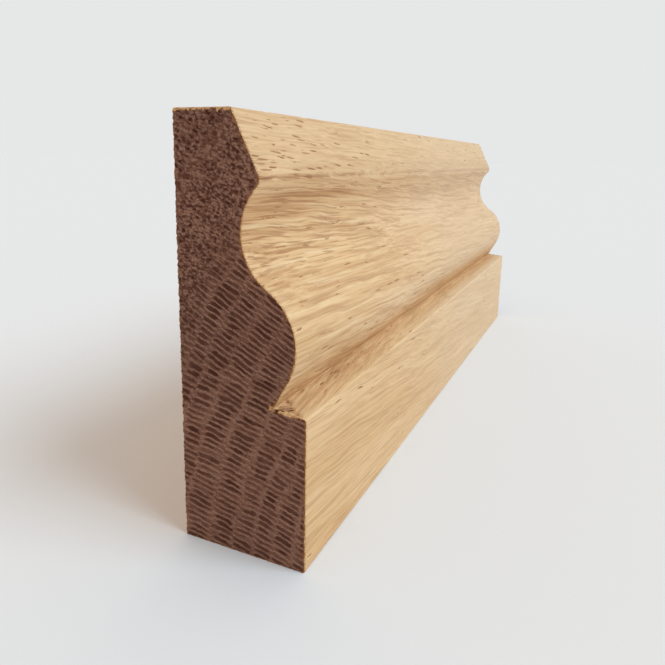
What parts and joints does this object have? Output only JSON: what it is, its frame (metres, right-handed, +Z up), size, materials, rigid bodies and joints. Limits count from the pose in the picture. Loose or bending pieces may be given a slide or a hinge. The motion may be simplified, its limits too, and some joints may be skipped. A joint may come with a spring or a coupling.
{
  "type": "skirting board length",
  "caption": "Short solid oak skirting board offcut: plain band, quirk, ogee bulge and hollow, nosed bevel and flat back.",
  "frame": {"origin": "middle of the base edge that stands on the floor, half way along the board and half way through its thickness", "axes": "+X along the board to the right as seen from the moulded face, +Y out of the flat back towards the wall, +Z up from the base edge to the top edge"},
  "size_m": [0.17, 0.022, 0.068],
  "materials": {
    "oak": "planed, unfinished, matte"
  },
  "bodies": {
    "root": {"skirting_board": "oak"}
  },
  "joints": []
}
